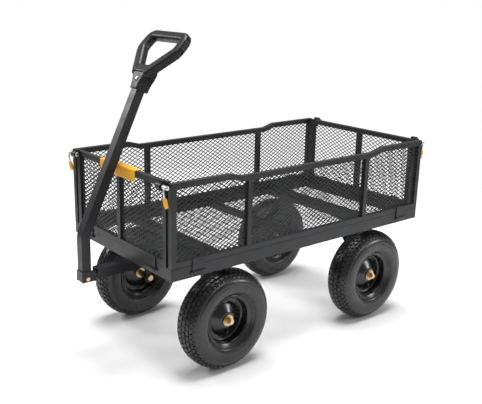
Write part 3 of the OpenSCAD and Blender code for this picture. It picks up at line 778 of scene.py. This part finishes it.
# The leaning part of the handle, and the plane of the grip's loop on it
LEANING = Matrix.Translation((0, -0.788, 0.508)) @ Matrix.Rotation(math.radians(-25.5), 4, "X")
LOOP = LEANING @ Matrix.Translation((0, -0.010, 0.607)) @ Matrix.Rotation(math.radians(70), 4, "X")
ARM_THICK = 0.0168
BAR_HALF = 0.0172
BAR_UP = 0.17
TUBE_SIDE = 0.0237
RIB_R = 0.0013
ARM_PATH = [(0.026, -0.003), (0.036, 0.010), (0.058, 0.0395), (0.085, 0.0755), (0.1, 0.0955), (0.106, 0.106),
            (0.1075, 0.122), (0.1065, 0.138), (0.1055, 0.152), (0.1, 0.163), (0.09, 0.1688), (0.078, 0.17)]
ARM_HALF = [0.019, 0.019, 0.0192, 0.0192, 0.0188, 0.0182, 0.0176, 0.0172, 0.0172, 0.0172, 0.0172, 0.0172]


def box_section(half_a, half_b, radius, steps=5):
    """Outline of a rectangle with round corners, anticlockwise."""
    points = []
    for sa, sb, start in ((1, 1, 0), (-1, 1, 90), (-1, -1, 180), (1, -1, 270)):
        for k in range(steps + 1):
            a = math.radians(start + 90 * k / steps)
            points.append((sa * (half_a - radius) + radius * math.cos(a),
                           sb * (half_b - radius) + radius * math.sin(a)))
    return points


def loop_bar(name, points, half_in, half_thick, radius):
    """Bar through points of the loop's plane, given in its own frame, with a half width at each."""
    stations = []
    for i, p in enumerate(points):
        a, b = points[max(0, i - 1)], points[min(len(points) - 1, i + 1)]
        along = Vector((b[0] - a[0], b[1] - a[1], 0)).normalized()
        grow = half_in[i] / half_in[0]
        stations.append((Vector((p[0], p[1], 0)), Vector((along.y, -along.x, 0)) * grow, Vector((0, 0, 1))))
    return sweep(name, box_section(half_in[0], half_thick, radius), stations)


def grip_body():
    """Two arms, the crossbar, the web and the flared socket, melted into one moulding."""
    parts = []
    for s in (1, -1):
        parts.append(loop_bar("arm", [(s * u, v) for u, v in ARM_PATH], ARM_HALF, ARM_THICK, 0.0105))
    bar = [(x, BAR_UP) for x in (-0.09, -0.06, -0.03, 0, 0.03, 0.06, 0.09)]
    parts.append(loop_bar("bar", bar, [BAR_HALF] * len(bar), BAR_HALF, 0.0105))
    parts.append(loop_bar("web", [(-0.03, 0.012), (0.03, 0.012)], [0.017, 0.017], 0.0165, 0.006))
    for part in parts:
        part.transform(LOOP)
    section = box_section(TUBE_SIDE, 0.0272, 0.007)
    flare = ((0.545, 0.97, 0.97), (0.5463, 1, 1), (0.556, 1.02, 1), (0.57, 1.14, 1), (0.585, 1.38, 1),
             (0.6, 1.65, 1), (0.612, 1.84, 0.98), (0.623, 1.86, 0.92), (0.633, 1.7, 0.8))
    socket = [[LEANING @ Vector((x * widen, y * deepen + 0.0035, z)) for x, y in section]
              for z, widen, deepen in flare]
    parts.append(lofted("socket", socket))
    holder = held(joined("grip_parts", parts))
    blob = holder.modifiers.new("blob", "REMESH")
    blob.mode, blob.voxel_size = "VOXEL", 0.0016
    ease = holder.modifiers.new("ease", "SMOOTH")
    ease.factor, ease.iterations = 0.5, 9
    thin = holder.modifiers.new("thin", "DECIMATE")
    thin.ratio = 0.45
    return released(holder)


def grip_ribs():
    """Ribs across the outer side and the back of each arm, and wavy flutes on the socket's sides."""
    parts = []
    for s in (1, -1):
        for k in range(24):
            t = 1.3 + k * 0.39
            i = int(t)
            a, b = Vector(ARM_PATH[i]), Vector(ARM_PATH[i + 1])
            at = a.lerp(b, t - i)
            along = (b - a).normalized()
            n = Vector((along.y, -along.x)) * (ARM_HALF[i] + 0.0001)
            out = at + n
            low, high = at - n * 0.62, at + n * 0.62
            for p, q in (((out, -0.0105), (out, 0.0105)), ((low, -ARM_THICK), (high, -ARM_THICK))):
                ends = [LOOP @ Vector((s * point.x, point.y, w)) for point, w in (p, q)]
                parts.append(tube_between("rib", *ends, RIB_R, 10))
        for y in (-0.0135, -0.0045, 0.0045, 0.0135, 0.0225):
            route = [Vector((s * TUBE_SIDE * (1 + 0.84 * smoothstep(0.552, 0.617, 0.551 + 0.066 * t)),
                             y + 0.0022 * math.sin(math.pi * t * 4), 0.551 + 0.066 * t))
                     for t in [i / 30 for i in range(31)]]
            flute = wire("flute", route, 0.0015, (1, 0, 0))
            flute.transform(LEANING)
            parts.append(flute)
    return joined("grip_ribs", parts)


add_piece("grip_moulding", grip_body(), "handle", "black_plastic", replaces=("handle_grip",))
add_piece("grip_ribbing", grip_ribs(), "handle", "black_plastic")
RIVET = LEANING @ Matrix.Translation((0, 0, 0.583)) @ Matrix.Rotation(math.radians(-90), 4, "Z")
rivet = revolve("rivet", scaled([
    (3, 12), (3, 23), (7.8, 23.4), (8, 24.2), (7.5, 25.3), (5.8, 26), (3.4, 26.2), (2.8, 25.6), (0, 25.4),
]), 40, Vector(), closed=False)
rivet.transform(RIVET)
add_piece("grip_rivet_head", rivet, "handle", NODE_SLOT["handle_rivet"], replaces=("handle_rivet",))
seat = revolve("seat", scaled([
    (8.3, 22), (8.3, 24), (8.9, 24.6), (10, 24.6), (10.9, 24), (11.2, 22),
]), 40, Vector())
seat.transform(RIVET)
add_piece("grip_rivet_seat", seat, "handle", "black_plastic")


# ---- Any CAD node still shown ----

for node, obj in frame["nodes"].items():
    if not obj.hide_render:
        obj.data.materials.clear()
        obj.data.materials.append(SLOT_MATERIALS[NODE_SLOT[node]])


# ---- Studio ----

FLOOR_RADIUS = 2.7
CAMERA_AT = (2.2806, -1.9987, 1.3649)
AZIMUTH, ELEVATION, ROLL = 52.1, 16.3, 0.8


def studio_floor():
    """A pale disc under the object."""
    bm = bmesh.new()
    bmesh.ops.create_circle(bm, cap_ends=True, segments=128, radius=FLOOR_RADIUS)
    mesh = bpy.data.meshes.new("studio_floor")
    bm.to_mesh(mesh)
    bm.free()
    s = Shader("pale_floor", (0.93, 0.93, 0.93), 0.75, Specular_IOR_Level=0.1)
    s.roughness(s.ramp(s.noise(900, 3), 0.3, 0.7, 0.7, 0.8))
    mesh.materials.append(s.material)
    floor = bpy.data.objects.new("studio_floor", mesh)
    bpy.context.scene.collection.objects.link(floor)


def soft_light(name, where, size, watts, target=(0, 0, 0.5)):
    """A round area light that faces the object."""
    data = bpy.data.lights.new(name, "AREA")
    data.shape, data.size, data.energy = "DISK", size, watts
    light = bpy.data.objects.new(name, data)
    light.location = where
    light.rotation_mode = "QUATERNION"
    light.rotation_quaternion = (Vector(target) - Vector(where)).to_track_quat("-Z", "Y")
    bpy.context.scene.collection.objects.link(light)


def studio_camera():
    """A camera that looks down the line given by its azimuth and elevation, turned by its roll."""
    az, el, roll = math.radians(AZIMUTH), math.radians(ELEVATION), math.radians(ROLL)
    back = Vector((math.sin(az) * math.cos(el), -math.cos(az) * math.cos(el), math.sin(el)))
    right = (-back).cross(Vector((0, 0, 1))).normalized()
    up = right.cross(-back)
    turned_right = right * math.cos(roll) + up * math.sin(roll)
    turned_up = up * math.cos(roll) - right * math.sin(roll)
    data = bpy.data.cameras.new("studio_camera")
    data.sensor_width = 36
    data.lens = 56.8
    data.shift_x, data.shift_y = 0.064, 0.008
    data.clip_end = 100
    camera = bpy.data.objects.new("studio_camera", data)
    axes = Matrix((turned_right, turned_up, back)).transposed()
    camera.matrix_world = Matrix.Translation(CAMERA_AT) @ axes.to_4x4()
    bpy.context.scene.collection.objects.link(camera)
    bpy.context.scene.camera = camera


def studio_world():
    """White behind the object, and a dimmer white as its light."""
    world = bpy.data.worlds.new("studio")
    world.use_nodes = True
    tree = world.node_tree
    light = tree.nodes["Background"]
    light.inputs["Color"].default_value = (1, 1, 1, 1)
    light.inputs["Strength"].default_value = 0.32
    seen = tree.nodes.new("ShaderNodeBackground")
    seen.inputs["Color"].default_value = (1, 1, 1, 1)
    seen.inputs["Strength"].default_value = 1.0
    mix = tree.nodes.new("ShaderNodeMixShader")
    path = tree.nodes.new("ShaderNodeLightPath")
    tree.links.new(path.outputs["Is Camera Ray"], mix.inputs["Fac"])
    tree.links.new(light.outputs["Background"], mix.inputs[1])
    tree.links.new(seen.outputs["Background"], mix.inputs[2])
    tree.links.new(mix.outputs["Shader"], tree.nodes["World Output"].inputs["Surface"])
    bpy.context.scene.world = world


bpy.context.scene.view_settings.view_transform = "Standard"
studio_world()
studio_floor()
soft_light("key", (-3.0, -2.2, 2.6), 1.3, 60)
soft_light("side", (3.0, 2.9, 1.7), 1.2, 48)
soft_light("top", (0, 0, 4.4), 3.2, 270)
studio_camera()
